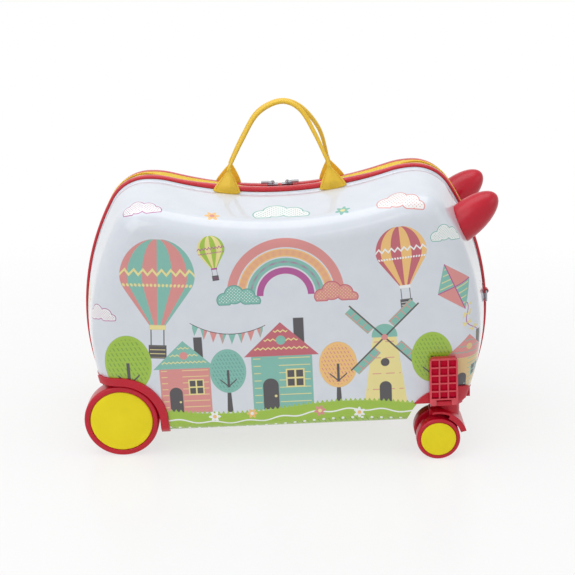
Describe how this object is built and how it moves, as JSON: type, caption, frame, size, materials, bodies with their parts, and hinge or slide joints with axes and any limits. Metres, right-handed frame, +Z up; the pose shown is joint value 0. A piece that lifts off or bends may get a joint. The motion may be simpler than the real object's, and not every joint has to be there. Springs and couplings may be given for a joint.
{
  "type": "ride-on suitcase",
  "caption": "Child's hard-shell ride-on suitcase with a saddle top, rear wheels, swivel casters, folding footrests, horns, a zip round the rim and soft carry handles.",
  "frame": {"origin": "on the floor, under the middle of the bounding box", "axes": "+X to the front (the horns), +Y to the far side, +Z up; the zip lies in the plane y = 0"},
  "size_m": [0.4662, 0.231, 0.3891],
  "materials": {
    "shell_film": "glossy printed film on a formed sheet",
    "red_plastic": "satin moulded plastic",
    "red_binding": "smooth extruded edge strip",
    "yellow_plastic": "satin moulded plastic",
    "yellow_cloth": "woven tape",
    "yellow_strap": "folded and sewn strap",
    "lining_cloth": "thin woven lining",
    "hinge_weave": "woven tape",
    "steel": "plated steel",
    "bright_metal": "plated zinc"
  },
  "bodies": {
    "near_half": {"near_shell": "shell_film", "near_edge_binding": "red_binding", "near_zip_tape": "yellow_cloth", "near_zip_teeth": "yellow_cloth", "near_lining": "lining_cloth", "near_wheel_housing": "red_plastic", "near_housing_screws": "steel", "near_axle_bolt": "steel", "near_caster_bracket": "red_plastic", "near_bracket_screws": "steel", "near_footrest_pin": "steel", "near_horn": "red_plastic", "near_horn_screws": "steel", "near_handle_tabs": "yellow_strap", "hinge_cloth": "hinge_weave", "tow_ring_tab": "red_binding"},
    "far_half": {"far_shell": "shell_film", "far_edge_binding": "red_binding", "far_zip_tape": "yellow_cloth", "far_zip_teeth": "yellow_cloth", "far_lining": "lining_cloth", "far_wheel_housing": "red_plastic", "far_housing_screws": "steel", "far_axle_bolt": "steel", "far_caster_bracket": "red_plastic", "far_bracket_screws": "steel", "far_footrest_pin": "steel", "far_horn": "red_plastic", "far_horn_screws": "steel", "far_handle_tabs": "yellow_strap"},
    "near_rear_wheel_body": {"near_rear_wheel": "red_plastic", "near_wheel_cap": "yellow_plastic"},
    "near_caster": {"near_caster_fork": "red_plastic", "near_caster_stem": "steel"},
    "near_caster_wheels": {"near_caster_outer_wheel": "red_plastic", "near_caster_inner_wheel": "red_plastic", "near_caster_outer_cap": "yellow_plastic", "near_caster_inner_cap": "yellow_plastic", "near_caster_axle": "steel"},
    "near_footrest_body": {"near_footrest": "red_plastic"},
    "near_handle": {"near_carry_handle": "yellow_strap"},
    "far_rear_wheel_body": {"far_rear_wheel": "red_plastic", "far_wheel_cap": "yellow_plastic"},
    "far_caster": {"far_caster_fork": "red_plastic", "far_caster_stem": "steel"},
    "far_caster_wheels": {"far_caster_outer_wheel": "red_plastic", "far_caster_inner_wheel": "red_plastic", "far_caster_outer_cap": "yellow_plastic", "far_caster_inner_cap": "yellow_plastic", "far_caster_axle": "steel"},
    "far_footrest_body": {"far_footrest": "red_plastic"},
    "far_handle": {"far_carry_handle": "yellow_strap"},
    "rear_slider": {"zip_slider_rear": "bright_metal"},
    "front_slider": {"zip_slider_front": "bright_metal"},
    "rear_pull": {"zip_pull_rear": "bright_metal"},
    "front_pull": {"zip_pull_front": "bright_metal"},
    "ring": {"tow_ring": "bright_metal"}
  },
  "joints": [
    {"name": "case_open", "type": "hinge", "parent": "near_half", "child": "far_half", "pos_m": [0.00463, 0, 0.02981], "axis": [-0.9989, 0, -0.0464], "range_deg": [0, 100], "deforming": ["hinge_cloth"]},
    {"name": "near_rear_wheel_spin", "type": "hinge", "parent": "near_half", "child": "near_rear_wheel_body", "pos_m": [-0.18564, -0.09, 0.042], "axis": [0, 1, 0], "continuous": true},
    {"name": "near_caster_swivel", "type": "hinge", "parent": "near_half", "child": "near_caster", "pos_m": [0.18287, -0.09, 0.06111], "axis": [-0.0464, 0, 0.9989], "continuous": true},
    {"name": "near_caster_spin", "type": "hinge", "parent": "near_caster", "child": "near_caster_wheels", "pos_m": [0.17056, -0.09, 0.0245], "axis": [0, 1, 0], "continuous": true},
    {"name": "near_footrest_fold", "type": "hinge", "parent": "near_half", "child": "near_footrest_body", "pos_m": [0.17451, -0.1117, 0.06873], "axis": [0.9989, 0, 0.0464], "range_deg": [0, 90]},
    {"name": "near_handle_fold", "type": "hinge", "parent": "near_half", "child": "near_handle", "pos_m": [-0.00873, -0.0206, 0.3175], "axis": [0.9989, 0, 0.0464], "range_deg": [0, 120]},
    {"name": "far_rear_wheel_spin", "type": "hinge", "parent": "far_half", "child": "far_rear_wheel_body", "pos_m": [-0.18564, 0.09, 0.042], "axis": [0, 1, 0], "continuous": true},
    {"name": "far_caster_swivel", "type": "hinge", "parent": "far_half", "child": "far_caster", "pos_m": [0.18287, 0.09, 0.06111], "axis": [-0.0464, 0, 0.9989], "continuous": true},
    {"name": "far_caster_spin", "type": "hinge", "parent": "far_caster", "child": "far_caster_wheels", "pos_m": [0.17056, 0.09, 0.0245], "axis": [0, 1, 0], "continuous": true},
    {"name": "far_footrest_fold", "type": "hinge", "parent": "far_half", "child": "far_footrest_body", "pos_m": [0.17451, 0.1117, 0.06873], "axis": [-0.9989, 0, -0.0464], "range_deg": [0, 90]},
    {"name": "far_handle_fold", "type": "hinge", "parent": "far_half", "child": "far_handle", "pos_m": [-0.00873, 0.0206, 0.3175], "axis": [-0.9989, 0, -0.0464], "range_deg": [0, 120]},
    {"name": "rear_zip_run", "type": "hinge", "parent": "near_half", "child": "rear_slider", "pos_m": [-0.02755, 0, 0.72307], "axis": [0, 1, 0], "range_deg": [0, 13]},
    {"name": "rear_pull_lift", "type": "hinge", "parent": "rear_slider", "child": "rear_pull", "pos_m": [-0.01603, 0, 0.29337], "axis": [0, 1, 0], "range_deg": [0, 110]},
    {"name": "front_zip_run", "type": "hinge", "parent": "near_half", "child": "front_slider", "pos_m": [-0.02755, 0, 0.72307], "axis": [0, -1, 0], "range_deg": [0, 13]},
    {"name": "front_pull_lift", "type": "hinge", "parent": "front_slider", "child": "front_pull", "pos_m": [0.00079, 0, 0.29415], "axis": [0, -1, 0], "range_deg": [0, 110]},
    {"name": "tow_ring_swing", "type": "hinge", "parent": "near_half", "child": "ring", "pos_m": [0.22922, -0.026, 0.17238], "axis": [0, -1, 0], "range_deg": [0, 85]}
  ]
}
